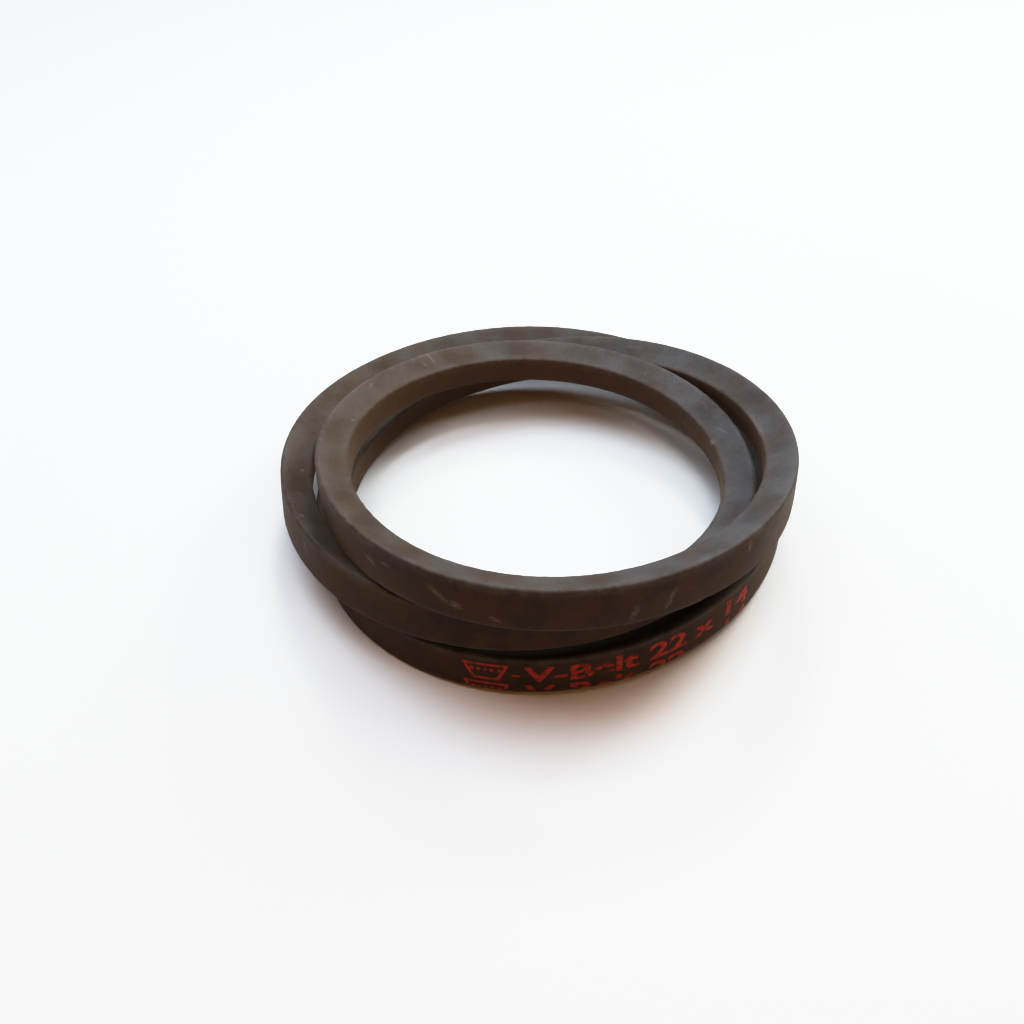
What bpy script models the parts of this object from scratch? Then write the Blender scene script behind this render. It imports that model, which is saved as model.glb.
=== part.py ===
"""Endless wrapped V-belt of classical C section, coiled into three loops for storage.

Units are metres, +Z is up, and the coil lies on the plane z = 0 with its box centred on the Z axis.
A section point is written as (out, up): out of the coil towards the belt's back, and up across its width.
"""
import math

import bmesh
import bpy
import numpy as np

MM = 0.001

# Classical C section
BACK_WIDTH = 22.0 * MM
SECTION_HEIGHT = 14.0 * MM
FLANK_ANGLE = math.radians(20.0)
CLEARANCE = 0.3 * MM

# Fabric jacket: two plies, each closed by a skived lap seam
PLY_THICKNESS = 0.6 * MM
SEAM_LAP = 1.5 * MM
SEAM_SLIT = 0.8 * MM
BACK_CORNER_RADIUS = 1.0 * MM
BASE_CORNER_RADIUS = 1.3 * MM
CORNER_CHORDS = 2

# Rubber layers below the plies, as depths measured down from the back
TENSION_RUBBER_THICKNESS = 0.9 * MM
UPPER_GUM_THICKNESS = 0.5 * MM
LOWER_GUM_THICKNESS = 0.8 * MM

# Tensile cord, wound side by side in a helix around the whole belt
CORD_TURNS = 9
CORD_DIAMETER = 1.15 * MM
CORD_SIDES = 5

# Route of the middle of the section. Each loop has a station every 45 degrees, counter-clockwise
# from the front: distance from the coil's axis (mm), height (mm), and how far the back is turned
# up (degrees).
FALLING_LOOP = [
    (110.5, 63.5, 5), (113.0, 62.0, 4), (109.0, 49.5, 2), (104.0, 34.5, 1),
    (99.5, 21.0, -2), (96.0, 13.0, -3), (95.0, 11.5, -2), (99.0, 11.0, 0),
]
RESTING_LOOP = [
    (101.0, 13.0, 2), (103.0, 15.0, 3), (111.5, 15.5, 2), (118.0, 16.0, 1),
    (119.0, 16.5, 2), (116.0, 20.0, 4), (111.5, 28.5, 4), (104.5, 33.5, 6),
]
RISING_LOOP = [
    (100.0, 38.5, -3), (97.0, 39.0, -7), (93.0, 33.5, 3), (87.5, 31.0, -4),
    (84.5, 31.0, -8), (85.0, 36.0, -8), (90.0, 44.5, -5), (98.5, 55.0, 3),
]
STATIONS = np.array(FALLING_LOOP + RESTING_LOOP + RISING_LOOP)
LOOPS = 3
START_AZIMUTH = math.radians(-90.0)
STEPS_PER_LOOP = 36
SLOPE_STEP = 1e-4

# Colours of the pieces: red, green, blue, then roughness
COVER_FABRIC = (0.060, 0.047, 0.040, 0.80)
INNER_FABRIC = (0.090, 0.075, 0.062, 0.85)
TENSION_RUBBER = (0.030, 0.030, 0.032, 0.60)
GUM_RUBBER = (0.050, 0.034, 0.024, 0.50)
COMPRESSION_RUBBER = (0.022, 0.022, 0.024, 0.65)
POLYESTER_CORD = (0.55, 0.50, 0.40, 0.70)


# ---- Route of the belt

def spline_weights(stations):
    """Control values of the periodic cubic B-spline that passes through the stations."""
    count = len(stations)
    identity = np.eye(count)
    pull = (np.roll(identity, -1, axis=1) + 4.0 * identity + np.roll(identity, 1, axis=1)) / 6.0
    return np.linalg.solve(pull, stations)


SPLINE = spline_weights(STATIONS)


def route_values(share):
    """Radius, height and lean at a share (0 to 1) of the belt's three loops."""
    place = (share % 1.0) * len(SPLINE)
    first = int(place)
    t = place - first
    weights = ((1 - t) ** 3, 3 * t ** 3 - 6 * t ** 2 + 4, -3 * t ** 3 + 3 * t ** 2 + 3 * t + 1, t ** 3)
    near = [SPLINE[(first + k) % len(SPLINE)] for k in (-1, 0, 1, 2)]
    return sum(weight * value for weight, value in zip(weights, near)) / 6.0


def route_point(share):
    """Middle of the section at a share of the belt."""
    radius, height, _ = route_values(share)
    azimuth = START_AZIMUTH + 2.0 * math.pi * LOOPS * share
    return np.array([radius * math.cos(azimuth), radius * math.sin(azimuth), height]) * MM


def section_frame(share):
    """Middle of the section with its outward and upward directions, square to the belt."""
    along = route_point(share + SLOPE_STEP) - route_point(share - SLOPE_STEP)
    along /= np.linalg.norm(along)
    up = np.array([0.0, 0.0, 1.0])
    up -= along * np.dot(up, along)
    up /= np.linalg.norm(up)
    out = np.cross(along, up)
    lean = math.radians(route_values(share)[2])
    turned_out = out * math.cos(lean) + up * math.sin(lean)
    turned_up = up * math.cos(lean) - out * math.sin(lean)
    return route_point(share), turned_out, turned_up


# ---- Section outlines

def wedge(top_depth, bottom_depth, inset):
    """Four corners of the wedge between two depths, drawn in from the flanks by inset."""
    corners = []
    for depth, side in ((bottom_depth, -1), (top_depth, -1), (top_depth, 1), (bottom_depth, 1)):
        half_width = BACK_WIDTH / 2 - depth * math.tan(FLANK_ANGLE) - inset / math.cos(FLANK_ANGLE)
        corners.append((SECTION_HEIGHT / 2 - depth, side * half_width))
    return corners


def arc_corner(before, corner, after, radius):
    """Points of the arc that rounds one corner."""
    corner = np.array(corner)
    arm_in = np.array(before) - corner
    arm_out = np.array(after) - corner
    arm_in /= np.linalg.norm(arm_in)
    arm_out /= np.linalg.norm(arm_out)
    half_angle = math.acos(float(np.dot(arm_in, arm_out))) / 2
    middle = (arm_in + arm_out) / np.linalg.norm(arm_in + arm_out)
    centre = corner + middle * radius / math.sin(half_angle)
    across = (arm_out - arm_in) / np.linalg.norm(arm_out - arm_in)
    sweep_angle = math.pi / 2 - half_angle
    turns = np.linspace(-sweep_angle, sweep_angle, CORNER_CHORDS + 1)
    return [tuple(centre + radius * (across * math.sin(turn) - middle * math.cos(turn))) for turn in turns]


def rounded(corners, radii):
    """The outline with each corner rounded by its own radius."""
    points = []
    for index, radius in enumerate(radii):
        before = corners[index - 1]
        after = corners[(index + 1) % len(corners)]
        points += arc_corner(before, corners[index], after, radius)
    return points


def ply_outline(depth, seam_on_back, rounded_outside):
    """Outline of one fabric ply: a thin wall around the wedge, open along its skived seam."""
    outside = wedge(depth, SECTION_HEIGHT - depth, depth)
    inner_depth = depth + PLY_THICKNESS
    inside = wedge(inner_depth, SECTION_HEIGHT - inner_depth, inner_depth)
    face = -SECTION_HEIGHT / 2
    if rounded_outside:
        radii = (BASE_CORNER_RADIUS, BACK_CORNER_RADIUS, BACK_CORNER_RADIUS, BASE_CORNER_RADIUS)
        outside = rounded(outside, radii)
    if seam_on_back:
        outside = outside[2:] + outside[:2]
        inside = inside[2:] + inside[:2]
        face = SECTION_HEIGHT / 2
    side = math.copysign(1.0, face)
    half_slit = side * SEAM_SLIT / 2
    outer_face = face - side * depth
    inner_face = face - side * inner_depth
    outside = [(outer_face, half_slit)] + outside + [(outer_face, -half_slit)]
    inside = [(inner_face, half_slit + SEAM_LAP)] + inside + [(inner_face, SEAM_LAP - half_slit)]
    return outside + inside[::-1]


def layer_depths():
    """Top and bottom depth of each layer inside the plies, from the back down to the base."""
    core_inset = 2 * (PLY_THICKNESS + CLEARANCE)
    depths = {}
    top = core_inset
    for name, thickness in (("tension_rubber", TENSION_RUBBER_THICKNESS),
                            ("upper_adhesion_gum", UPPER_GUM_THICKNESS),
                            ("cord", CORD_DIAMETER),
                            ("lower_adhesion_gum", LOWER_GUM_THICKNESS)):
        depths[name] = (top, top + thickness)
        top += thickness + CLEARANCE
    depths["compression_rubber"] = (top, SECTION_HEIGHT - core_inset)
    return depths, core_inset


def cord_outline(depth, across):
    """Round outline of the cord, centred at a depth below the back and a place across the width."""
    outline = []
    for side in range(CORD_SIDES):
        angle = 2 * math.pi * side / CORD_SIDES
        out = SECTION_HEIGHT / 2 - depth + CORD_DIAMETER / 2 * math.cos(angle)
        outline.append((out, across + CORD_DIAMETER / 2 * math.sin(angle)))
    return outline


# ---- Solids

def material(name, look):
    """Plain Principled material of one colour and roughness."""
    made = bpy.data.materials.new(name)
    made.use_nodes = True
    shader = made.node_tree.nodes["Principled BSDF"]
    shader.inputs["Base Color"].default_value = (*look[:3], 1.0)
    shader.inputs["Roughness"].default_value = look[3]
    shader.inputs["Metallic"].default_value = 0.0
    made.diffuse_color = (*look[:3], 1.0)
    return made


def ring_points(share, outline, origin):
    """One section's outline placed in space at a share of the belt."""
    middle, out, up = section_frame(share)
    return [middle - origin + out * point[0] + up * point[1] for point in outline]


def add_solid(name, rings, outline, closed, look):
    """Skins a run of equal rings into one closed solid, an endless ring or a capped bar.

    Each four-sided patch is split from its lower edge here to its upper edge on the next ring, so
    that the facing sides of two layers bend in the same way.
    """
    shape = bmesh.new()
    rows = [[shape.verts.new(point) for point in ring] for ring in rings]
    count = len(outline)
    last = len(rows) if closed else len(rows) - 1
    for index in range(last):
        here = rows[index]
        there = rows[(index + 1) % len(rows)]
        for k in range(count):
            after = (k + 1) % count
            if outline[after][1] > outline[k][1]:
                shape.faces.new((here[k], there[k], there[after]))
                shape.faces.new((here[k], there[after], here[after]))
            else:
                shape.faces.new((here[k], there[k], here[after]))
                shape.faces.new((there[k], there[after], here[after]))
    if not closed:
        shape.faces.new(rows[0])
        shape.faces.new(rows[-1][::-1])
    bmesh.ops.recalc_face_normals(shape, faces=shape.faces)
    mesh = bpy.data.meshes.new(name)
    shape.to_mesh(mesh)
    shape.free()
    mesh.shade_smooth()
    mesh.set_sharp_from_angle(angle=math.radians(30.0))
    mesh.materials.append(material(name, look))
    piece = bpy.data.objects.new(name, mesh)
    bpy.context.scene.collection.objects.link(piece)
    return piece


def add_endless(name, outline, origin, look):
    """A piece with the same section all the way round the belt."""
    steps = LOOPS * STEPS_PER_LOOP
    rings = [ring_points(step / steps, outline, origin) for step in range(steps)]
    return add_solid(name, rings, outline, True, look)


def add_cord_turn(turn, depth, pitch, origin):
    """One turn of the cord helix: once round the belt while moving one pitch across it."""
    steps = LOOPS * STEPS_PER_LOOP
    end_gap = CLEARANCE / (2 * route_length())
    shares = [end_gap] + [step / steps for step in range(1, steps)] + [1.0 - end_gap]
    first_place = -pitch * CORD_TURNS / 2 + pitch * turn
    outlines = [cord_outline(depth, first_place + pitch * share) for share in shares]
    rings = [ring_points(share, outline, origin) for share, outline in zip(shares, outlines)]
    return add_solid(f"tensile_cord_turn_{turn + 1:02d}", rings, outlines[0], False, POLYESTER_CORD)


def route_length():
    """Length of the middle of the section once round the belt."""
    steps = LOOPS * STEPS_PER_LOOP
    points = [route_point(step / steps) for step in range(steps + 1)]
    return sum(float(np.linalg.norm(b - a)) for a, b in zip(points, points[1:]))


def resting_origin(outline):
    """Point at the middle of the bottom of the box around the whole coil."""
    steps = LOOPS * STEPS_PER_LOOP
    rings = [ring_points(step / steps, outline, np.zeros(3)) for step in range(steps)]
    points = np.array(rings).reshape(-1, 3)
    low = points.min(axis=0)
    high = points.max(axis=0)
    return np.array([(low[0] + high[0]) / 2, (low[1] + high[1]) / 2, low[2]])


def add_jacket(origin):
    """Two plies of rubbered fabric, with their lap seams on opposite faces."""
    add_endless("outer_cover_ply", ply_outline(0.0, False, True), origin, COVER_FABRIC)
    inner_depth = PLY_THICKNESS + CLEARANCE
    add_endless("inner_cover_ply", ply_outline(inner_depth, True, False), origin, INNER_FABRIC)


def add_core(origin):
    """Rubber layers above and below the row of cord turns."""
    depths, inset = layer_depths()
    looks = {"tension_rubber": TENSION_RUBBER, "upper_adhesion_gum": GUM_RUBBER,
             "lower_adhesion_gum": GUM_RUBBER, "compression_rubber": COMPRESSION_RUBBER}
    for name, look in looks.items():
        top, bottom = depths[name]
        add_endless(name, wedge(top, bottom, inset), origin, look)
    cord_depth = sum(depths["cord"]) / 2
    for turn in range(CORD_TURNS):
        add_cord_turn(turn, cord_depth, CORD_DIAMETER + CLEARANCE, origin)


def main():
    for piece in list(bpy.data.objects):
        bpy.data.objects.remove(piece, do_unlink=True)
    origin = resting_origin(ply_outline(0.0, False, True))
    add_jacket(origin)
    add_core(origin)


main()
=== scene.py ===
"""Looks of the coiled V-belt: a worn, fabric-wrapped skin with fuzzy edges and a faded red print.

Units are metres, +Z is up. A section point is written as (out, up), as in the CAD: out of the coil
towards the belt's back, and up across its width. A place along the belt is a share from 0 to 1 of
its three loops, or a turn in degrees from 0 to 1080 from the same start at the front.
"""
import math

import bmesh
import bpy
import numpy as np
from mathutils import Euler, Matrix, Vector


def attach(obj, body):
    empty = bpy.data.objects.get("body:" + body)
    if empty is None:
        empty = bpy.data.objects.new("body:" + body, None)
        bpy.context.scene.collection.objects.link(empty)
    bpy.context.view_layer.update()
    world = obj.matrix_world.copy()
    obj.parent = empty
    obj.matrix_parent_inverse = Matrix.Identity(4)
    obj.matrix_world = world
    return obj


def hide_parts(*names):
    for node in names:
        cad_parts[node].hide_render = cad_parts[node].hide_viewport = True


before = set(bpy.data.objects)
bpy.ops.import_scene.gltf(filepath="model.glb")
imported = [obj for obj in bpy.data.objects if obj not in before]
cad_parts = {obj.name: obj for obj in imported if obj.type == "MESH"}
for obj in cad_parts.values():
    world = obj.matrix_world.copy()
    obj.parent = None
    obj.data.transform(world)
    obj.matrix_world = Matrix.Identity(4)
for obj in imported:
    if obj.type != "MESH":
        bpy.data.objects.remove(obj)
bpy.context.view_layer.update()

MM = 0.001

# Belt section and route, as in the CAD
BACK_WIDTH = 22.0 * MM
SECTION_HEIGHT = 14.0 * MM
FLANK_ANGLE = math.radians(20.0)
FALLING_LOOP = [
    (110.5, 63.5, 5), (113.0, 62.0, 4), (109.0, 49.5, 2), (104.0, 34.5, 1),
    (99.5, 21.0, -2), (96.0, 13.0, -3), (95.0, 11.5, -2), (99.0, 11.0, 0),
]
RESTING_LOOP = [
    (101.0, 13.0, 2), (103.0, 15.0, 3), (111.5, 15.5, 2), (118.0, 16.0, 1),
    (119.0, 16.5, 2), (116.0, 20.0, 4), (111.5, 28.5, 4), (104.5, 33.5, 6),
]
RISING_LOOP = [
    (100.0, 38.5, -3), (97.0, 39.0, -7), (93.0, 33.5, 3), (87.5, 31.0, -4),
    (84.5, 31.0, -8), (85.0, 36.0, -8), (90.0, 44.5, -5), (98.5, 55.0, 3),
]
STATIONS = np.array(FALLING_LOOP + RESTING_LOOP + RISING_LOOP)
LOOPS = 3
START_AZIMUTH = math.radians(-90.0)
COIL_ORIGIN = np.array([-0.089, 4.005, 0.406]) * MM
SLOPE_STEP = 1e-4

# Camera, level with the photograph's view
CAMERA_PLACE = (0.1 * MM, -400.3 * MM, 380.4 * MM)
CAMERA_PITCH = math.radians(43.56)
CAMERA_YAW = math.radians(1.50)
CAMERA_LENS = 39.555

# Soft lamps round the coil: azimuth clockwise from the far side, elevation (degrees), size (m),
# power (W), colour
LAMP_DISTANCE = 1.3
LAMPS = [
    ("window_back", 0, 50, 0.22, 5.4, (0.92, 1.0, 0.98)),
    ("window_right", 47, 36, 0.45, 9.6, (0.90, 1.0, 1.0)),
    ("sky_right", 67, 55, 0.9, 5.0, (0.96, 0.96, 1.0)),
    ("sky_left", 292, 55, 0.9, 9.4, (0.70, 0.84, 1.0)),
    ("sky_top", 0, 85, 1.2, 13.0, (0.74, 0.88, 1.0)),
    ("room_front", 195, 50, 1.6, 6.0, (1.0, 0.43, 0.08)),
    ("room_right", 115, 25, 1.3, 2.4, (1.0, 0.70, 0.42)),
]

# Backdrop that closes the view beyond the floor
BACKDROP_RADIUS = 1.1
BACKDROP_GLOW = 1.1
WORLD_GLOW = 0.0

# Tone of the picture: scene brightness and the brightness shown for it
TONE_WHITE = 1.4
TONE_POINTS = [(0.05, 0.022), (0.15, 0.09), (0.3, 0.22), (0.5, 0.47), (0.7, 0.74), (0.85, 0.86),
               (1.0, 0.90), (1.4, 0.96)]

# Fineness of the skin
RINGS = 1320
CORNER_CHORDS = 6
BACK_POINTS = 15
FLANK_POINTS = 10
BASE_POINTS = 9
BACK_CORNER_RADIUS = 1.4 * MM
BASE_CORNER_RADIUS = 1.3 * MM

# Stretches of the section outline, in order, and the crown (+) or hollow (-) of each face
LOWER_FLANK, BACK, UPPER_FLANK, BASE = range(4)
CROWNS = (-0.10 * MM, 0.14 * MM, -0.12 * MM, 0.10 * MM)
WAVE_HEIGHT = 0.06 * MM
CORNER_WAVE_HEIGHT = 0.05 * MM
CORNER_WAVE_REACH = 1.2 * MM
SEAM_STEP = 0.10 * MM
# Corner mask: pale fuzzy wear plus a painted highlight that softens the corners, strongest on the upper back
# corner
EDGE_REACH = 2.6 * MM
RUB_FADE = 3.0 * MM
EDGE_STRENGTHS = (0.25, 0.25, 0.75, 0.55)

# Dents and burrs on the corners: turn (degrees), corner (1 lower back, 2 upper back, 3 upper base),
# half length (mm) and height (mm, negative for a dent)
CORNER_FLAWS = [
    (34.6, 1, 1.3, -0.40), (39.5, 2, 1.8, 0.30), (22.0, 2, 3.0, -0.18), (1050.0, 2, 4.0, -0.15),
    (986.0, 2, 5.0, -0.18), (819.6, 3, 2.2, 0.35), (915.0, 2, 6.0, 0.16), (655.0, 2, 3.5, -0.16),
    (88.0, 3, 2.5, -0.20), (402.0, 2, 2.5, 0.16), (118.0, 2, 4.0, 0.14), (700.0, 1, 3.0, -0.20),
]

# Print on the back, stamped in rows that run off its edges. Lengths in mm.
PRINT_TURN = 358.5
PRINT_ROWS = (1.5, -9.9)
PRINT_REACH = 10.2
PRINT_WORDS = "V-Belt 22 x 14"
PRINT_LENGTH = 106.0
PRINT_HEIGHT = 9.4
PRINT_BOLDNESS = 0.030
PRINT_GRID = 2.0
INK_TOP = 0.03 * MM
INK_BOTTOM = -0.04 * MM

# Printed picture of the belt's section, ahead of the words: widths, height, line and dots in mm
PICTURE_PLACE = -24.5
PICTURE_WIDTHS = (19.0, 11.0)
PICTURE_HEIGHT = 9.6
PICTURE_LINE = 1.3
PICTURE_DOT = 0.9
PICTURE_DOTS = 5
PICTURE_DOT_STEP = 2.7
PICTURE_DOT_HEIGHT = 1.2
PICTURE_DOT_CORNERS = 16
PICTURE_DASH = [(10.6, -1.6), (13.6, -1.6), (13.6, -0.6), (10.6, -0.6)]
TOP_INSET = 1.4
BOTTOM_INSET = 0.9

# Loose fibres of the cover fabric
FIBRE_COUNT = 2600
FIBRE_LENGTHS = (0.35 * MM, 1.3 * MM)
FIBRE_RADIUS = 0.035 * MM
THREAD_STEPS = 26
HAIR_SIDEWAYS = [0.31, 0.17, 0.93]
HAIR_TAPER = 0.8

# Chalky scuffs and one painted glint: turn (degrees), face, part across it, half length and half width (mm),
# slant (degrees) and strength. The last rows are worn pale runs of corner.
SCUFFS_AND_GLINT = [
    (938.0, UPPER_FLANK, 0.30, 0.7, 4.2, 8, 0.75), (941.5, UPPER_FLANK, 0.45, 0.5, 3.2, 14, 0.55),
    (963.4, UPPER_FLANK, 0.31, 2.4, 0.6, 20, 0.60), (982.8, UPPER_FLANK, 0.80, 1.4, 1.1, 0, 0.50),
    (635.1, UPPER_FLANK, 0.70, 0.9, 0.9, 0, 0.60), (645.0, UPPER_FLANK, 0.50, 0.8, 0.7, 0, 0.50),
    (653.7, UPPER_FLANK, 0.24, 1.5, 0.9, 30, 0.60), (659.9, BACK, 0.60, 1.6, 4.4, 25, 0.40),
    (1043.8, BACK, 0.54, 3.2, 1.4, -25, 0.50), (1048.9, BACK, 0.68, 2.2, 0.9, 10, 0.55),
    (1062.0, BACK, 0.52, 5.0, 1.3, -38, 0.45), (1065.7, BACK, 0.38, 2.6, 1.6, -20, 0.60),
    (1073.5, BACK, 0.22, 2.2, 1.0, -30, 0.50), (19.0, BACK, 0.28, 1.2, 4.6, -18, 0.42),
    (26.0, BACK, 0.40, 1.1, 4.8, -16, 0.50), (45.0, BACK, 0.75, 1.2, 3.0, 10, 0.40),
    # The row at turn 819.6 is a painted highlight: a glint on the raised burr there
    (34.6, BACK, 0.02, 1.3, 0.7, 0, 0.90), (819.6, UPPER_FLANK, 0.97, 2.0, 1.0, 0, 0.90),
    (823.1, UPPER_FLANK, 0.51, 6.5, 0.5, 22, 0.45), (835.0, UPPER_FLANK, 0.35, 4.0, 0.6, -12, 0.30),
    (78.3, UPPER_FLANK, 0.70, 0.5, 3.5, 0, 0.35), (150.0, UPPER_FLANK, 0.40, 5.0, 0.8, 6, 0.30),
    (905.0, BACK, 1.00, 30.0, 1.0, 0, 0.45), (940.0, BACK, 1.00, 36.0, 1.1, 0, 0.60),
    (975.0, BACK, 1.00, 26.0, 1.3, 0, 0.55), (93.0, UPPER_FLANK, 0.97, 16.0, 1.2, 0, 0.50),
]

# Painted shade: dark stretches, in the same terms, that deepen the shadowed gap under the resting front
# strand
GAP_SHADE_PLACES = [
    (378.0, UPPER_FLANK, 0.62, 70.0, 7.5, 0, 1.40), (350.0, UPPER_FLANK, 0.62, 60.0, 7.5, 0, 1.20),
    (318.0, UPPER_FLANK, 0.62, 60.0, 7.5, 0, 1.00),
]

# How far a soft spot reaches past its listed half sizes, and how strong its middle is
SPOT_REACH = 1.4
SPOT_STRENGTH = 1.6

# Loose threads along the corners: turn (degrees), face, part across it, length and radius (mm)
THREADS = [
    (899.0, BACK, 1.00, 34.0, 0.07), (920.0, BACK, 0.99, 26.0, 0.06), (936.0, BACK, 1.00, 30.0, 0.08),
    (958.0, BACK, 0.98, 22.0, 0.07), (973.0, BACK, 1.00, 18.0, 0.06), (986.0, UPPER_FLANK, 0.02, 14.0, 0.06),
    (905.0, UPPER_FLANK, 0.97, 16.0, 0.06), (84.0, UPPER_FLANK, 0.97, 12.0, 0.06),
    (12.0, BACK, 0.99, 9.0, 0.05), (1030.0, BACK, 0.99, 11.0, 0.05), (700.0, BACK, 0.99, 15.0, 0.06),
]

# Colours (linear) of the worn cover with its painted shade, sheen and highlights, its ink, and the pieces
# inside
BROWN_DARK = (0.034, 0.0130, 0.0036)
BROWN_WARM = (0.072, 0.0320, 0.0105)
BLOOM_GREY = (0.120, 0.097, 0.080)
# Blue-grey at the right of the coil: part the cover's grey, part painted cool reflection
BLOOM_AND_COOL_REFLECTION = (0.122, 0.124, 0.134)
BASE_BROWN = (0.115, 0.065, 0.034)
SHEEN_WARM = (1.0, 0.78, 0.58)
# Near-black of the painted shade in the gap under the resting front strand
GAP_SHADE_DARK = (0.008, 0.0042, 0.0022)
# Pale grey of the worn fuzzy corners and of their painted highlight
CORNER_FUZZ_AND_HIGHLIGHT = (0.170, 0.155, 0.145)
# Pale of the chalky scuffs, also used for one painted glint
CHALK_AND_GLINT = (0.30, 0.25, 0.20)
INK_RED = (0.50, 0.054, 0.030)
FIBRE_PALE = (0.30, 0.26, 0.21)
FIBRE_DARK = (0.07, 0.055, 0.045)
WEAVE_PITCHES = 3400

# Shares (0 to 1) of each layer in the cover's colour
# The flanks' grey is part worn dirt, part painted sheen of the lamps
FLANK_DUST_AND_SHEEN = 0.70
BACK_DUST = 0.08
STREAK_SHARE = 0.06
GRAIN_SHARE = 0.30
BASE_SHARE = 0.65
FUZZ_AND_HIGHLIGHT_SHARE = 0.60
INK_SHARE = 0.95
CHALK_AND_GLINT_SHARE = 0.75


# ---- Route of the belt

def spline_weights(stations):
    """Control values of the periodic cubic B-spline that passes through the stations."""
    identity = np.eye(len(stations))
    pull = (np.roll(identity, -1, axis=1) + 4.0 * identity + np.roll(identity, 1, axis=1)) / 6.0
    return np.linalg.solve(pull, stations)


SPLINE = spline_weights(STATIONS)


def route_values(shares):
    """Radius, height and lean at each share (0 to 1) of the belt's three loops."""
    place = (np.asarray(shares) % 1.0) * len(SPLINE)
    first = np.floor(place).astype(int)
    t = (place - first)[:, None]
    weights = ((1 - t) ** 3, 3 * t ** 3 - 6 * t ** 2 + 4, -3 * t ** 3 + 3 * t ** 2 + 3 * t + 1, t ** 3)
    near = [SPLINE[(first + k) % len(SPLINE)] for k in (-1, 0, 1, 2)]
    return sum(weight * value for weight, value in zip(weights, near)) / 6.0


def route_points(shares):
    """Middle of the section at each share of the belt."""
    values = route_values(shares)
    azimuth = START_AZIMUTH + 2.0 * math.pi * LOOPS * np.asarray(shares)
    flat = np.stack([values[:, 0] * np.cos(azimuth), values[:, 0] * np.sin(azimuth), values[:, 1]], 1)
    return flat * MM - COIL_ORIGIN


def unit(vectors):
    return vectors / np.linalg.norm(vectors, axis=1)[:, None]


def section_frames(shares):
    """Middle, outward and upward directions of the section at each share, square to the belt."""
    shares = np.asarray(shares, float)
    along = unit(route_points(shares + SLOPE_STEP) - route_points(shares - SLOPE_STEP))
    up = np.tile([0.0, 0.0, 1.0], (len(shares), 1))
    up = unit(up - along * (up * along).sum(1)[:, None])
    out = np.cross(along, up)
    lean = np.radians(route_values(shares)[:, 2])[:, None]
    turned_out = out * np.cos(lean) + up * np.sin(lean)
    turned_up = up * np.cos(lean) - out * np.sin(lean)
    return route_points(shares), turned_out, turned_up


def belt_length():
    """Length of the middle of the section once round the belt."""
    points = route_points(np.linspace(0.0, 1.0, RINGS + 1))
    return float(np.linalg.norm(np.diff(points, axis=0), axis=1).sum())


# ---- Section

def wedge_corners():
    """Corners of the section: base lower, back lower, back upper, base upper."""
    back = BACK_WIDTH / 2
    base = back - SECTION_HEIGHT * math.tan(FLANK_ANGLE)
    half = SECTION_HEIGHT / 2
    return np.array([(-half, -base), (half, -back), (half, back), (-half, base)])


def corner_arc(before, corner, after, radius):
    """Points of the arc that rounds one corner."""
    arm_in = (before - corner) / np.linalg.norm(before - corner)
    arm_out = (after - corner) / np.linalg.norm(after - corner)
    half_angle = math.acos(float(np.dot(arm_in, arm_out))) / 2
    middle = (arm_in + arm_out) / np.linalg.norm(arm_in + arm_out)
    across = (arm_out - arm_in) / np.linalg.norm(arm_out - arm_in)
    centre = corner + middle * radius / math.sin(half_angle)
    sweep_angle = math.pi / 2 - half_angle
    turns = np.linspace(-sweep_angle, sweep_angle, CORNER_CHORDS + 1)
    return [centre + radius * (across * math.sin(a) - middle * math.cos(a)) for a in turns]


def skin_profile():
    """Rounded section outline: its points, and the (stretch, part) of each.

    A point's part goes from 0 to 1 along its stretch, and the corners belong half to each side.
    """
    corners = wedge_corners()
    radii = (BASE_CORNER_RADIUS, BACK_CORNER_RADIUS, BACK_CORNER_RADIUS, BASE_CORNER_RADIUS)
    counts = (FLANK_POINTS, BACK_POINTS, FLANK_POINTS, BASE_POINTS)
    arcs = [corner_arc(corners[k - 1], corners[k], corners[(k + 1) % 4], radii[k]) for k in range(4)]
    points = []
    stretches = []
    for k in range(4):
        for index, point in enumerate(arcs[k]):
            turn = index / CORNER_CHORDS
            points.append(point)
            stretches.append((k, 0.0) if turn > 0.5 else ((k - 1) % 4, 1.0))
        start = arcs[k][-1]
        end = arcs[(k + 1) % 4][0]
        for index in range(1, counts[k] + 1):
            part = index / (counts[k] + 1)
            points.append(start + (end - start) * part)
            stretches.append((k, part))
    return np.array(points), np.array(stretches)


PROFILE, STRETCHES = skin_profile()
PROFILE_COUNT = len(PROFILE)
PROFILE_STEPS = np.linalg.norm(np.roll(PROFILE, -1, axis=0) - PROFILE, axis=1)
AROUND = np.concatenate([[0.0], np.cumsum(PROFILE_STEPS)])
CORNER_COLUMNS = [
    CORNER_CHORDS // 2,
    CORNER_CHORDS // 2 + (CORNER_CHORDS + 1) + FLANK_POINTS,
    CORNER_CHORDS // 2 + 2 * (CORNER_CHORDS + 1) + FLANK_POINTS + BACK_POINTS,
    CORNER_CHORDS // 2 + 3 * (CORNER_CHORDS + 1) + 2 * FLANK_POINTS + BACK_POINTS,
]
CORNER_AROUND = AROUND[CORNER_COLUMNS]
BACK_MIDDLE = (CORNER_AROUND[1] + CORNER_AROUND[2]) / 2
SEAM_AROUND = (CORNER_AROUND[3] + AROUND[-1]) / 2


def outline_normals():
    """Outward direction of the section outline at each of its points."""
    slope = np.roll(PROFILE, -1, axis=0) - np.roll(PROFILE, 1, axis=0)
    return unit(np.stack([slope[:, 1], -slope[:, 0]], axis=1))


def place_around(stretch, part):
    """Distance round the outline of a part (0 to 1) of one of its faces."""
    ends = list(CORNER_AROUND) + [AROUND[-1] + CORNER_AROUND[0]]
    return ends[stretch] + (ends[stretch + 1] - ends[stretch]) * part


# ---- Skin

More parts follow.
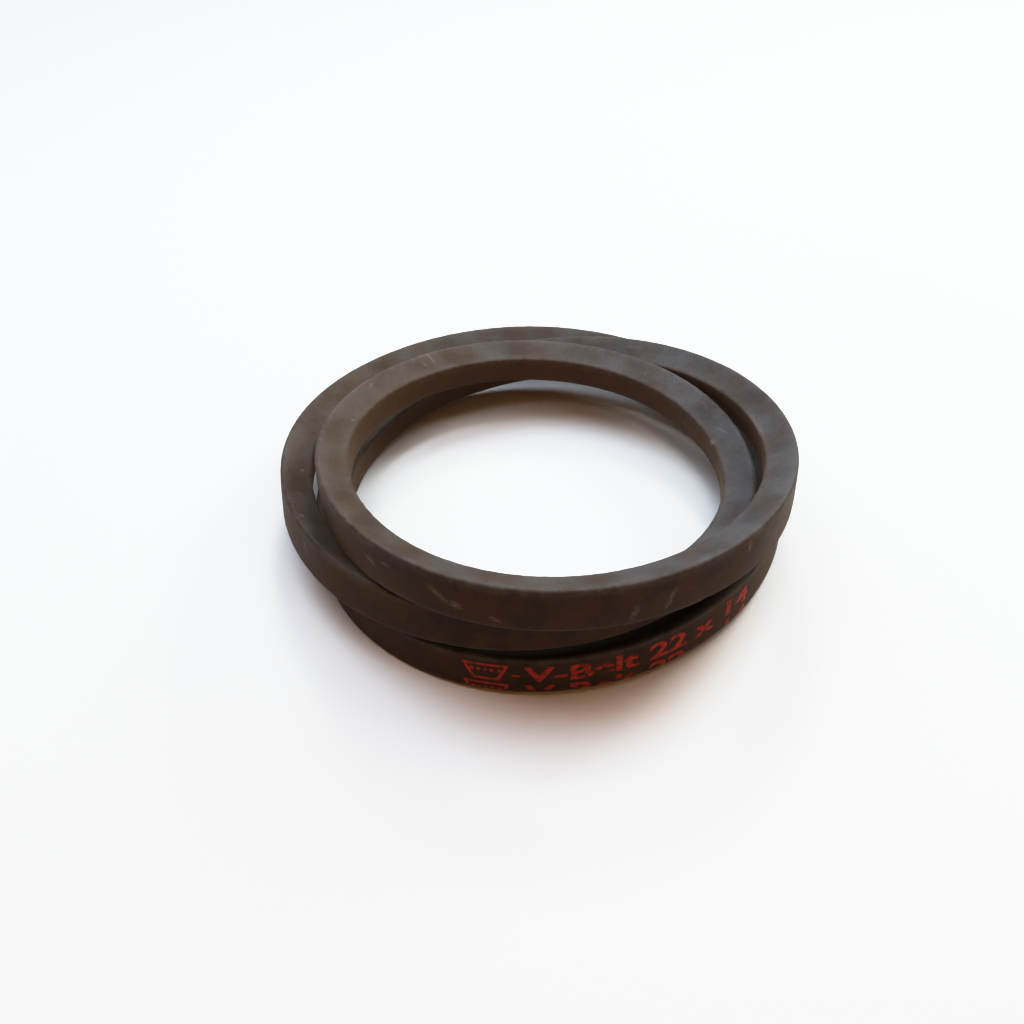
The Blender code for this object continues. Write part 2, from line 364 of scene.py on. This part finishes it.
def wander(shares, seed, slowest, fastest, count=18):
    """Random wave along the endless belt, mostly within -1 to 1, that joins up with itself."""
    draw = np.random.default_rng(seed)
    cycles = draw.integers(slowest, fastest + 1, count)
    phases = draw.uniform(0.0, 2.0 * math.pi, count)
    waves = np.sin(2.0 * math.pi * np.outer(shares, cycles) + phases)
    return waves.sum(axis=1) / math.sqrt(count)


def flaw_relief(shares):
    """Height of the dents and burrs on the corners."""
    relief = np.zeros((len(shares), PROFILE_COUNT))
    for turn, corner, half_length, height in CORNER_FLAWS:
        along = (shares - turn / (360.0 * LOOPS)) * BELT_LENGTH / (half_length * MM)
        around = (AROUND[:-1] - CORNER_AROUND[corner]) / CORNER_WAVE_REACH
        relief += height * MM * np.outer(np.exp(-along ** 2), np.exp(-around ** 2))
    return relief


def skin_relief(shares):
    """Height of the skin above the plain wedge: crowns, gentle waves, soft corners and the lap seam."""
    stretch = STRETCHES[:, 0].astype(int)
    part = STRETCHES[:, 1]
    bow = np.array(CROWNS)[stretch] * 4.0 * part * (1.0 - part)
    relief = np.tile(bow, (len(shares), 1))
    for face in range(4):
        shape = np.where(stretch == face, np.sin(math.pi * part), 0.0)
        relief += WAVE_HEIGHT * np.outer(wander(shares, 10 + face, 12, 70), shape)
        tilt = np.where(stretch == face, np.sin(2.0 * math.pi * part), 0.0)
        relief += WAVE_HEIGHT * 0.6 * np.outer(wander(shares, 20 + face, 20, 120), tilt)
    for corner in range(4):
        near = np.exp(-((AROUND[:-1] - CORNER_AROUND[corner]) / CORNER_WAVE_REACH) ** 2)
        relief += CORNER_WAVE_HEIGHT * np.outer(wander(shares, 30 + corner, 60, 420, 40), near)
    lap = (stretch == BASE) & (AROUND[:-1] < SEAM_AROUND)
    fade = np.clip(part * 3.0, 0.0, 1.0)
    relief += SEAM_STEP * np.where(lap, fade, 0.0)
    return relief + flaw_relief(shares)


def skin_grid():
    """Skin points, one row per ring and one column per outline point, and their outward directions."""
    shares = np.arange(RINGS) / RINGS
    middle, out, up = section_frames(shares)
    flat = outline_normals()
    normals = out[:, None] * flat[None, :, 0:1] + up[:, None] * flat[None, :, 1:2]
    points = middle[:, None] + out[:, None] * PROFILE[None, :, 0:1] + up[:, None] * PROFILE[None, :, 1:2]
    return points + normals * skin_relief(shares)[:, :, None], normals


def on_skin(grid, shares, around, lift):
    """Points at a height above the skin, by share of the belt and distance round the outline."""
    points, normals = grid
    row = (np.asarray(shares) % 1.0) * RINGS
    column = np.interp(around, AROUND, np.arange(PROFILE_COUNT + 1))
    first_row = np.floor(row).astype(int)
    first_column = np.floor(column).astype(int)
    row_part = (row - first_row)[:, None]
    column_part = (column - first_column)[:, None]

    def blended(values):
        corners = [values[(first_row + i) % RINGS, (first_column + k) % PROFILE_COUNT]
                   for i in (0, 1) for k in (0, 1)]
        near = corners[0] * (1 - column_part) + corners[1] * column_part
        far = corners[2] * (1 - column_part) + corners[3] * column_part
        return near * (1 - row_part) + far * row_part

    return blended(points) + blended(normals) * np.reshape(lift, (-1, 1))


def build_mesh(name, points, faces, smooth=True):
    """Mesh object from arrays of points and faces."""
    mesh = bpy.data.meshes.new(name)
    mesh.from_pydata([tuple(point) for point in points], [], faces)
    if smooth:
        mesh.shade_smooth()
    mesh.update()
    made = bpy.data.objects.new(name, mesh)
    bpy.context.scene.collection.objects.link(made)
    return made


def add_belt_map(mesh, along, around):
    """UV map "belt" in millimetres: along the belt, and round its outline."""
    layer = mesh.uv_layers.new(name="belt")
    layer.data.foreach_set("uv", np.stack([along, around], axis=1).ravel() / MM)


def add_loop_place(mesh, along, around):
    """Attribute "loop_place": the belt bent into one ring, in metres, so that grain has no joint."""
    ring = BELT_LENGTH / (2.0 * math.pi)
    angle = along / ring
    places = np.stack([ring * np.cos(angle), ring * np.sin(angle), around], axis=1)
    layer = mesh.attributes.new("loop_place", "FLOAT_VECTOR", "POINT")
    layer.data.foreach_set("vector", places.ravel())


def add_face_masks(mesh, around):
    """Attributes "edge", 1 on the corners (pale fuzzy wear and a painted highlight), "rubbed", 1 on the
    flanks (worn dirt and a painted sheen), and "inside", 1 on the base.
    """
    edge = np.zeros(len(around))
    for corner, strength in zip(CORNER_AROUND, EDGE_STRENGTHS):
        edge = np.maximum(edge, strength * np.exp(-((around - corner) / EDGE_REACH) ** 2))
    flank_wear_and_sheen = np.zeros(len(around))
    for first, last in ((0, 1), (2, 3)):
        inward = np.minimum(around - CORNER_AROUND[first], CORNER_AROUND[last] - around)
        flank_wear_and_sheen = np.maximum(flank_wear_and_sheen, np.clip(inward / RUB_FADE + 0.5, 0.0, 1.0))
    past_flanks = np.maximum(around - CORNER_AROUND[3], CORNER_AROUND[0] - around)
    inside = np.clip(past_flanks / RUB_FADE + 0.5, 0.0, 1.0)
    for name, values in (("edge", edge), ("flank_wear_and_sheen", flank_wear_and_sheen), ("inside", inside)):
        layer = mesh.attributes.new(name, "FLOAT", "POINT")
        layer.data.foreach_set("value", values)


def belt_skin(grid):
    """The wrapped belt's outside as one endless smooth surface."""
    count = PROFILE_COUNT
    ring, column = np.meshgrid(np.arange(RINGS), np.arange(count), indexing="ij")
    next_ring = (ring + 1) % RINGS
    next_column = (column + 1) % count
    faces = np.stack([ring * count + column, next_ring * count + column,
                      next_ring * count + next_column, ring * count + next_column], axis=-1)
    made = build_mesh("belt_skin", grid[0].reshape(-1, 3), faces.reshape(-1, 4).tolist())
    step = BELT_LENGTH / RINGS
    along = np.stack([ring, ring + 1, ring + 1, ring], axis=-1) * step
    around = AROUND[np.stack([column, column, column + 1, column + 1], axis=-1)]
    add_belt_map(made.data, along.ravel(), around.ravel())
    add_loop_place(made.data, (ring * step).ravel(), AROUND[column].ravel())
    add_face_masks(made.data, AROUND[column].ravel())
    return made


# ---- Print

def flat_mesh(curve):
    """Flat mesh of a filled curve."""
    maker = bpy.data.objects.new("maker", curve)
    bpy.context.scene.collection.objects.link(maker)
    bpy.context.view_layer.update()
    graph = bpy.context.evaluated_depsgraph_get()
    mesh = bpy.data.meshes.new_from_object(maker.evaluated_get(graph))
    bpy.data.objects.remove(maker)
    return mesh


def words_mesh():
    """The words, from 0 to their length and centred in height, in mm."""
    curve = bpy.data.curves.new("words", "FONT")
    curve.body = PRINT_WORDS
    curve.offset = PRINT_BOLDNESS
    mesh = flat_mesh(curve)
    points = np.array([vertex.co for vertex in mesh.vertices])
    low = points.min(axis=0)
    span = points.max(axis=0) - low
    for vertex in mesh.vertices:
        x = (vertex.co.x - low[0]) / span[0] * PRINT_LENGTH
        y = ((vertex.co.y - low[1]) / span[1] - 0.5) * PRINT_HEIGHT
        vertex.co = (x, y, 0.0)
    return mesh


def add_loop(curve, points):
    loop = curve.splines.new("POLY")
    loop.points.add(len(points) - 1)
    for point, place in zip(loop.points, points):
        point.co = (place[0], place[1], 0.0, 1.0)
    loop.use_cyclic_u = True


def trapezoid(inset):
    """Corners of the printed section, drawn in by inset."""
    half_height = PICTURE_HEIGHT / 2 - inset
    top = PICTURE_WIDTHS[0] / 2 - inset * TOP_INSET
    bottom = PICTURE_WIDTHS[1] / 2 - inset * BOTTOM_INSET
    return [(-bottom, -half_height), (bottom, -half_height), (top, half_height), (-top, half_height)]


def picture_mesh():
    """Outlined belt section with its row of cords, and a short dash towards the words, in mm."""
    curve = bpy.data.curves.new("picture", "CURVE")
    curve.dimensions = "2D"
    curve.fill_mode = "BOTH"
    add_loop(curve, trapezoid(0.0))
    add_loop(curve, trapezoid(PICTURE_LINE))
    for k in range(PICTURE_DOTS):
        x = (k - (PICTURE_DOTS - 1) / 2) * PICTURE_DOT_STEP
        angles = np.linspace(0.0, 2.0 * math.pi, PICTURE_DOT_CORNERS, endpoint=False)
        dot = [(x + PICTURE_DOT * math.cos(a), PICTURE_DOT_HEIGHT + PICTURE_DOT * math.sin(a))
               for a in angles]
        add_loop(curve, dot)
    add_loop(curve, PICTURE_DASH)
    mesh = flat_mesh(curve)
    for vertex in mesh.vertices:
        vertex.co.x += PICTURE_PLACE + PICTURE_WIDTHS[0] / 2
    return mesh


def cut(shape, place, normal, drop_outer=False):
    parts = list(shape.verts) + list(shape.edges) + list(shape.faces)
    bmesh.ops.bisect_plane(shape, geom=parts, plane_co=place, plane_no=normal, clear_outer=drop_outer)


def print_row(shape, mesh, row):
    """Adds one row of a printed mesh, trimmed to the width that the stamp touches."""
    piece = bmesh.new()
    piece.from_mesh(mesh)
    for vertex in piece.verts:
        vertex.co.y += row
    cut(piece, (0, PRINT_REACH, 0), (0, 1, 0), True)
    cut(piece, (0, -PRINT_REACH, 0), (0, -1, 0), True)
    trimmed = bpy.data.meshes.new("row")
    piece.to_mesh(trimmed)
    piece.free()
    shape.from_mesh(trimmed)


def belt_print(grid):
    """The red stamp as a thin film of ink on the belt's back."""
    shape = bmesh.new()
    for mesh in (picture_mesh(), words_mesh()):
        for row in PRINT_ROWS:
            print_row(shape, mesh, row)
    for x in np.arange(PICTURE_PLACE, PRINT_LENGTH, PRINT_GRID):
        cut(shape, (x, 0, 0), (1, 0, 0))
    for y in np.arange(-PRINT_REACH, PRINT_REACH, PRINT_GRID):
        cut(shape, (0, y, 0), (0, 1, 0))
    bmesh.ops.remove_doubles(shape, verts=shape.verts, dist=1e-4)
    bmesh.ops.recalc_face_normals(shape, faces=shape.faces)
    raised = bmesh.ops.extrude_face_region(shape, geom=list(shape.faces))["geom"]
    for element in raised:
        if isinstance(element, bmesh.types.BMVert):
            element.co.z = 1.0
    mesh = bpy.data.meshes.new("printed_marking")
    shape.to_mesh(mesh)
    shape.free()
    flat = np.array([vertex.co for vertex in mesh.vertices])
    along = PRINT_TURN / (360.0 * LOOPS) * BELT_LENGTH + flat[:, 0] * MM
    around = BACK_MIDDLE + flat[:, 1] * MM
    places = on_skin(grid, along / BELT_LENGTH, around, np.where(flat[:, 2] > 0.5, INK_TOP, INK_BOTTOM))
    mesh.vertices.foreach_set("co", places.ravel())
    corner_verts = np.array([loop.vertex_index for loop in mesh.loops])
    add_belt_map(mesh, along[corner_verts], around[corner_verts])
    add_loop_place(mesh, along, around)
    add_face_masks(mesh, around)
    made = bpy.data.objects.new("printed_marking", mesh)
    bpy.context.scene.collection.objects.link(made)
    shape = bmesh.new()
    shape.from_mesh(mesh)
    bmesh.ops.recalc_face_normals(shape, faces=shape.faces)
    shape.to_mesh(mesh)
    shape.free()
    return made


# ---- Loose fibres

def add_hair(points, faces, spine, radius):
    """Adds one thin three-sided hair along its spine, tapering to its tip."""
    start = len(points)
    along = unit(np.gradient(spine, axis=0))
    side = unit(np.cross(along, HAIR_SIDEWAYS))
    other = np.cross(along, side)
    steps = len(spine)
    for index in range(steps):
        width = radius * (1.0 - HAIR_TAPER * index / (steps - 1))
        for corner in range(3):
            angle = 2.0 * math.pi * corner / 3
            aside = side[index] * math.cos(angle) + other[index] * math.sin(angle)
            points.append(spine[index] + width * aside)
    for index in range(steps - 1):
        here = start + 3 * index
        for corner in range(3):
            after = (corner + 1) % 3
            faces.append((here + corner, here + after, here + 3 + after, here + 3 + corner))
    faces.append((start + 2, start + 1, start))
    end = start + 3 * (steps - 1)
    faces.append((end, end + 1, end + 2))


def edge_fibres(grid):
    """Short broken fibres that stand out of the worn corners, and lie flat where they meet the table."""
    draw = np.random.default_rng(7)
    points = []
    faces = []
    shares = draw.random(FIBRE_COUNT)
    corners = draw.choice(4, FIBRE_COUNT, p=(0.15, 0.30, 0.40, 0.15))
    around = CORNER_AROUND[corners] + draw.normal(0.0, 0.7 * MM, FIBRE_COUNT)
    around = np.clip(around, 0.0, AROUND[-1])
    root = on_skin(grid, shares, around, np.full(FIBRE_COUNT, -0.05 * MM))
    away = on_skin(grid, shares, around, np.full(FIBRE_COUNT, 1.0 * MM)) - root
    along = on_skin(grid, shares + 1e-4, around, np.full(FIBRE_COUNT, -0.05 * MM)) - root
    away = unit(away)
    along = unit(along)
    lengths = draw.uniform(*FIBRE_LENGTHS, FIBRE_COUNT)
    for k in range(FIBRE_COUNT):
        aim = away[k] * draw.uniform(0.25, 0.9) + along[k] * draw.normal(0.0, 1.0)
        aim /= np.linalg.norm(aim)
        bend = draw.normal(0.0, 0.35, 3)
        t = np.linspace(0.0, 1.0, 4)[:, None]
        spine = root[k] + lengths[k] * (aim * t + bend * t ** 2)
        spine[:, 2] = np.maximum(spine[:, 2], FIBRE_RADIUS)
        add_hair(points, faces, spine, FIBRE_RADIUS)
    return build_mesh("edge_fibres", points, faces)


def frayed_threads(grid):
    """Longer threads of the cover, worked loose and lying along a corner."""
    points = []
    faces = []
    for seed, (turn, stretch, part, length, radius) in enumerate(THREADS):
        draw = np.random.default_rng(100 + seed)
        t = np.linspace(0.0, 1.0, THREAD_STEPS)
        shares = turn / (360.0 * LOOPS) + t * length * MM / BELT_LENGTH
        sway = np.cumsum(draw.normal(0.0, 0.12, THREAD_STEPS)) * MM
        around = place_around(stretch, part) + sway - sway.mean()
        lift = (0.06 + 0.25 * np.abs(np.sin(t * 9.0 + seed)) * draw.random()) * MM
        add_hair(points, faces, on_skin(grid, shares, around, lift), radius * MM)
    return build_mesh("frayed_threads", points, faces)


# ---- Materials

class Look:
    """One procedural material and short ways to make its nodes."""

    def __init__(self, name, roughness=0.8):
        self.material = bpy.data.materials.new(name)
        self.material.use_nodes = True
        self.tree = self.material.node_tree
        self.shader = self.tree.nodes["Principled BSDF"]
        self.shader.inputs["Roughness"].default_value = roughness

    def node(self, kind, **settings):
        made = self.tree.nodes.new(kind)
        for key, value in settings.items():
            setattr(made, key, value)
        return made

    def feed(self, socket, value):
        if isinstance(value, bpy.types.NodeSocket):
            self.tree.links.new(value, socket)
        elif isinstance(value, tuple) and len(value) == 3 and socket.type == "RGBA":
            socket.default_value = (*value, 1.0)
        else:
            socket.default_value = value

    def math(self, operation, first, second=0.0, clamp=False):
        made = self.node("ShaderNodeMath", operation=operation, use_clamp=clamp)
        self.feed(made.inputs[0], first)
        self.feed(made.inputs[1], second)
        return made.outputs[0]

    def mix(self, part, first, second):
        made = self.node("ShaderNodeMix", data_type="RGBA")
        self.feed(made.inputs[0], part)
        self.feed(made.inputs[6], first)
        self.feed(made.inputs[7], second)
        return made.outputs[2]

    def rise(self, value, low, high):
        """0 below low, 1 above high, smooth between."""
        made = self.node("ShaderNodeMapRange", interpolation_type="SMOOTHSTEP")
        self.feed(made.inputs["Value"], value)
        made.inputs["From Min"].default_value = low
        made.inputs["From Max"].default_value = high
        return made.outputs["Result"]

    def place(self, name="Object"):
        return self.node("ShaderNodeTexCoord").outputs[name]

    def attribute(self, name, output="Fac"):
        return self.node("ShaderNodeAttribute", attribute_name=name).outputs[output]

    def scaled(self, vector, scale):
        made = self.node("ShaderNodeVectorMath", operation="MULTIPLY")
        self.feed(made.inputs[0], vector)
        made.inputs[1].default_value = scale
        return made.outputs[0]

    def noise(self, vector, scale, detail=4.0, roughness=0.55):
        made = self.node("ShaderNodeTexNoise")
        self.feed(made.inputs["Vector"], vector)
        made.inputs["Scale"].default_value = scale
        made.inputs["Detail"].default_value = detail
        made.inputs["Roughness"].default_value = roughness
        return made.outputs["Fac"]

    def bump(self, height, distance, strength=1.0, normal=None):
        made = self.node("ShaderNodeBump")
        made.inputs["Distance"].default_value = distance
        made.inputs["Strength"].default_value = strength
        self.feed(made.inputs["Height"], height)
        if normal is not None:
            self.feed(made.inputs["Normal"], normal)
        return made.outputs["Normal"]


def bias_weave(look):
    """Height of the cover's square weave, laid at 45 degrees to the belt."""
    belt = look.node("ShaderNodeUVMap", uv_map="belt").outputs[0]
    apart = look.node("ShaderNodeSeparateXYZ")
    look.feed(apart.inputs[0], belt)
    turns = 2.0 * math.pi * WEAVE_PITCHES / (BELT_LENGTH / MM)
    waves = []
    for operation in ("ADD", "SUBTRACT"):
        across = look.math(operation, apart.outputs[0], apart.outputs[1])
        waves.append(look.math("SINE", look.math("MULTIPLY", across, turns)))
    return look.math("MULTIPLY", waves[0], waves[1])


def spots(look, rows):
    """Where the listed soft spots are, 0 to 1."""
    belt = look.node("ShaderNodeUVMap", uv_map="belt").outputs[0]
    total = 0.0
    for turn, face, part, half_length, half_width, slant, strength in rows:
        spot = look.node("ShaderNodeMapping", vector_type="TEXTURE")
        look.feed(spot.inputs["Vector"], belt)
        along = turn / (360.0 * LOOPS) * BELT_LENGTH / MM
        spot.inputs["Location"].default_value = (along, place_around(face, part) / MM, 0.0)
        spot.inputs["Rotation"].default_value = (0.0, 0.0, math.radians(slant))
        spot.inputs["Scale"].default_value = (half_length * SPOT_REACH, half_width * SPOT_REACH, 1.0)
        blob = look.node("ShaderNodeTexGradient", gradient_type="SPHERICAL")
        look.feed(blob.inputs["Vector"], spot.outputs[0])
        total = look.math("ADD", total, look.math("MULTIPLY", blob.outputs["Fac"], strength * SPOT_STRENGTH))
    return total


def cover_look(name, inked):
    """Worn rubbered fabric: mottled brown and grey with painted sheen, chalky scuffs and a painted glint,
    pale fuzzy corners with a painted highlight, painted shade in the front gap, bias weave.
    """
    look = Look(name)
    solid = look.place()
    loop = look.attribute("loop_place", "Vector")
    edge = look.attribute("edge")

    patches = look.noise(solid, 55.0, 5.0, 0.6)
    streaks = look.noise(look.scaled(loop, (0.12, 0.12, 1.0)), 900.0, 4.0, 0.6)
    grain = look.noise(solid, 900.0, 4.0, 0.7)
    colour = look.mix(look.rise(patches, 0.32, 0.66), BROWN_DARK, BROWN_WARM)
    # Towards the right of the coil the grey turns blue: part mottle, part painted cool reflection of the
    # lamps
    apart = look.node("ShaderNodeSeparateXYZ")
    look.feed(apart.inputs[0], solid)
    right_side_cool_reflection = look.rise(apart.outputs[0], -0.10, 0.13)
    bloom_and_reflection = look.mix(right_side_cool_reflection, BLOOM_GREY, BLOOM_AND_COOL_REFLECTION)
    clouds = look.rise(look.noise(solid, 48.0, 4.0, 0.5), 0.30, 0.70)
    # Flanks and backs turn grey: worn dirt, and on the flanks also a painted sheen
    dust_and_sheen = look.math("ADD", look.math("MULTIPLY", look.attribute("flank_wear_and_sheen"), FLANK_DUST_AND_SHEEN), BACK_DUST)
    cover = look.math("ADD", look.math("MULTIPLY", clouds, 0.6), 0.55)
    colour = look.mix(look.math("MULTIPLY", dust_and_sheen, cover, clamp=True), colour, bloom_and_reflection)
    streaked = look.math("MULTIPLY", look.rise(streaks, 0.45, 0.75), STREAK_SHARE)
    colour = look.mix(streaked, colour, BLOOM_GREY)
    speckled = look.math("MULTIPLY", look.rise(grain, 0.50, 0.70), GRAIN_SHARE)
    colour = look.mix(speckled, colour, BROWN_DARK)

    inside = look.math("MULTIPLY", look.attribute("inside"), BASE_SHARE)
    colour = look.mix(inside, colour, BASE_BROWN)

    # Corners lightened: pale fuzzy wear and a painted highlight along them
    fuzz_and_highlight = look.math("MULTIPLY", edge, look.rise(look.noise(loop, 220.0, 4.0, 0.55), 0.15, 0.80))
    colour = look.mix(look.math("MULTIPLY", fuzz_and_highlight, FUZZ_AND_HIGHLIGHT_SHARE), colour, CORNER_FUZZ_AND_HIGHLIGHT)
    # Painted shade darkens the gap under the resting front strand, and makes it rougher
    gap_shade = look.math("MULTIPLY", spots(look, GAP_SHADE_PLACES), 1.0, clamp=True)
    colour = look.mix(gap_shade, colour, GAP_SHADE_DARK)
    if inked:
        wear = look.noise(loop, 420.0, 6.0, 0.75)
        inking = look.math("MULTIPLY", look.rise(wear, 0.31, 0.58), INK_SHARE)
        colour = look.mix(inking, colour, INK_RED)
    torn = look.rise(look.noise(loop, 800.0, 5.0, 0.75), 0.34, 0.66)
    # Chalky scuffs and specks, and one painted glint
    rub_and_glint = look.math("MULTIPLY", spots(look, SCUFFS_AND_GLINT), torn)
    specks = look.rise(look.noise(solid, 480.0, 2.0, 0.5), 0.74, 0.80)
    rub_and_glint = look.math("ADD", rub_and_glint, look.math("MULTIPLY", specks, 0.35), clamp=True)
    colour = look.mix(look.math("MULTIPLY", rub_and_glint, CHALK_AND_GLINT_SHARE), colour, CHALK_AND_GLINT)
    look.feed(look.shader.inputs["Base Color"], colour)

    rough = look.math("MULTIPLY", look.rise(patches, 0.25, 0.75), 0.16)
    rough = look.math("ADD", rough, look.math("MULTIPLY", gap_shade, 0.4))
    look.feed(look.shader.inputs["Roughness"], look.math("ADD", rough, 0.50, clamp=True))
    weave = look.bump(bias_weave(look), 0.010 * MM)
    nap = look.bump(grain, 0.10 * MM, 0.8, weave)
    lumps = look.bump(look.noise(loop, 260.0, 3.0, 0.5), 0.16 * MM, 0.7, nap)
    look.feed(look.shader.inputs["Normal"], lumps)
    look.shader.inputs["Specular IOR Level"].default_value = 0.15
    look.shader.inputs["Sheen Weight"].default_value = 0.10
    look.shader.inputs["Sheen Roughness"].default_value = 0.45
    look.shader.inputs["Sheen Tint"].default_value = (*SHEEN_WARM, 1.0)
    return look.material


def fibre_look():
    """Broken cotton fibres, some pale and some stained."""
    look = Look("cotton_fibre", 0.9)
    stain = look.rise(look.noise(look.place(), 150.0, 2.0), 0.40, 0.60)
    look.feed(look.shader.inputs["Base Color"], look.mix(stain, FIBRE_DARK, FIBRE_PALE))
    return look.material


def rubber_look(name, dark, light, roughness):
    """Moulded rubber with faint flow marks and a fine skin."""
    look = Look(name)
    solid = look.place()
    flow = look.noise(look.scaled(solid, (1.0, 1.0, 4.0)), 90.0, 5.0, 0.6)
    grit = look.noise(solid, 1400.0, 3.0, 0.6)
    colour = look.mix(look.rise(flow, 0.35, 0.65), dark, light)
    look.feed(look.shader.inputs["Base Color"], colour)
    rough = look.math("ADD", look.math("MULTIPLY", grit, 0.2), roughness - 0.1)
    look.feed(look.shader.inputs["Roughness"], rough)
    look.feed(look.shader.inputs["Normal"], look.bump(grit, 0.05 * MM))
    return look.material


def woven_look(name, dark, light, thread, slant, roughness):
    """Threads as a fine wave in space, for the inner ply and the twist of the cord."""
    look = Look(name, roughness)
    solid = look.place()
    turned = look.node("ShaderNodeMapping")
    look.feed(turned.inputs["Vector"], solid)
    turned.inputs["Rotation"].default_value = (slant, slant, slant)
    wave = look.node("ShaderNodeTexWave", wave_type="BANDS", bands_direction="DIAGONAL")
    look.feed(wave.inputs["Vector"], turned.outputs[0])
    wave.inputs["Scale"].default_value = 1.0 / (thread * 3.2)
    wave.inputs["Distortion"].default_value = 1.5
    height = wave.outputs["Fac"]
    stain = look.math("MULTIPLY", look.noise(solid, 200.0), height)
    look.feed(look.shader.inputs["Base Color"], look.mix(look.rise(stain, 0.1, 0.6), dark, light))
    look.feed(look.shader.inputs["Normal"], look.bump(height, 0.12 * MM))
    return look.material


def dress_inner_nodes():
    """Materials of the CAD pieces that stay as they are, inside the cover."""
    looks = {
        "inner_cover_ply": woven_look("inner_ply_weave", (0.05, 0.04, 0.032), (0.12, 0.10, 0.085),
                                      0.5 * MM, 0.6, 0.85),
        "tension_rubber": rubber_look("tension_black", (0.022, 0.022, 0.024), (0.040, 0.040, 0.042), 0.6),
        "adhesion_gum": rubber_look("gum_brown", (0.036, 0.024, 0.016), (0.066, 0.046, 0.032), 0.5),
        "compression_rubber": rubber_look("compression_black", (0.016, 0.016, 0.018),
                                          (0.032, 0.032, 0.034), 0.65),
        "tensile_cord": woven_look("cord_twist", (0.38, 0.33, 0.25), (0.62, 0.57, 0.46), 0.4 * MM, 0.3, 0.7),
    }
    for name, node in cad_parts.items():
        for part, made in looks.items():
            if part in name:
                node.data.materials.clear()
                node.data.materials.append(made)


# ---- Stage

def add_camera():
    data = bpy.data.cameras.new("camera")
    data.lens = CAMERA_LENS
    data.sensor_width = 36.0
    data.clip_start = 0.01
    camera = bpy.data.objects.new("camera", data)
    camera.location = CAMERA_PLACE
    camera.rotation_euler = Euler((math.pi / 2 - CAMERA_PITCH, 0.0, CAMERA_YAW), "XYZ")
    bpy.context.scene.collection.objects.link(camera)
    bpy.context.scene.camera = camera


def add_area(name, place, size, power, colour):
    """Soft square lamp that looks at the coil."""
    data = bpy.data.lights.new(name, "AREA")
    data.size = size
    data.energy = power
    data.color = colour
    lamp = bpy.data.objects.new(name, data)
    lamp.location = place
    lamp.rotation_euler = (-Vector(place)).to_track_quat("-Z", "Y").to_euler()
    lamp.visible_camera = False
    bpy.context.scene.collection.objects.link(lamp)


def floor_look():
    """Matt white paper with the faintest unevenness."""
    look = Look("floor_white", 0.7)
    tone = look.rise(look.noise(look.place(), 3.0, 3.0), 0.3, 0.7)
    look.feed(look.shader.inputs["Base Color"], look.mix(tone, (0.800, 0.806, 0.806), (0.815, 0.820, 0.820)))
    return look.material


def add_backdrop():
    """Pale dome round the floor, seen by the camera only, so that it neither lights nor shades."""
    shape = bmesh.new()
    bmesh.ops.create_uvsphere(shape, u_segments=64, v_segments=32, radius=BACKDROP_RADIUS)
    mesh = bpy.data.meshes.new("backdrop")
    shape.to_mesh(mesh)
    shape.free()
    mesh.shade_smooth()
    dome = bpy.data.objects.new("backdrop", mesh)
    bpy.context.scene.collection.objects.link(dome)
    look = Look("backdrop_white")
    look.shader.inputs["Base Color"].default_value = (0.0, 0.0, 0.0, 1.0)
    look.shader.inputs["Specular IOR Level"].default_value = 0.0
    look.shader.inputs["Emission Color"].default_value = (0.97, 0.99, 1.0, 1.0)
    look.shader.inputs["Emission Strength"].default_value = BACKDROP_GLOW
    mesh.materials.append(look.material)
    for rays in ("diffuse", "glossy", "transmission", "volume_scatter", "shadow"):
        setattr(dome, "visible_" + rays, False)


def add_stage():
    floor = build_mesh("floor", [(-4, -3, 0), (4, -3, 0), (4, 5, 0), (-4, 5, 0)], [(0, 1, 2, 3)], False)
    floor.data.materials.append(floor_look())
    add_backdrop()
    world = bpy.data.worlds.new("room")
    world.use_nodes = True
    background = world.node_tree.nodes["Background"]
    background.inputs["Color"].default_value = (1.0, 1.0, 1.0, 1.0)
    background.inputs["Strength"].default_value = WORLD_GLOW
    bpy.context.scene.world = world
    for name, azimuth, elevation, size, power, colour in LAMPS:
        around = math.radians(azimuth)
        height = math.radians(elevation)
        flat = LAMP_DISTANCE * math.cos(height)
        place = (flat * math.sin(around), flat * math.cos(around), LAMP_DISTANCE * math.sin(height))
        add_area(name, place, size, power, colour)


def set_tone():
    """Photographic tone: gently rolled-off whites and deep shadows."""
    view = bpy.context.scene.view_settings
    view.view_transform = "Standard"
    view.use_curve_mapping = True
    view.curve_mapping.white_level = (TONE_WHITE, TONE_WHITE, TONE_WHITE)
    tone = view.curve_mapping.curves[3]
    tone.points[0].location = (0.0, 0.0)
    tone.points[-1].location = (1.0, TONE_POINTS[-1][1])
    for bright, shown in TONE_POINTS[:-1]:
        tone.points.new(bright / TONE_WHITE, shown)
    view.curve_mapping.update()


def add_piece(piece, look):
    """Gives a new piece its material and body."""
    piece.data.materials.append(look)
    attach(piece, "root")


set_tone()
BELT_LENGTH = belt_length()
add_camera()
add_stage()
dress_inner_nodes()
GRID = skin_grid()
skin = belt_skin(GRID)
add_piece(skin, cover_look("cover_worn", False))
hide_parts("outer_cover_ply")
add_piece(belt_print(GRID), cover_look("cover_inked", True))
fibres = fibre_look()
add_piece(edge_fibres(GRID), fibres)
add_piece(frayed_threads(GRID), fibres)

bpy.context.view_layer.update()
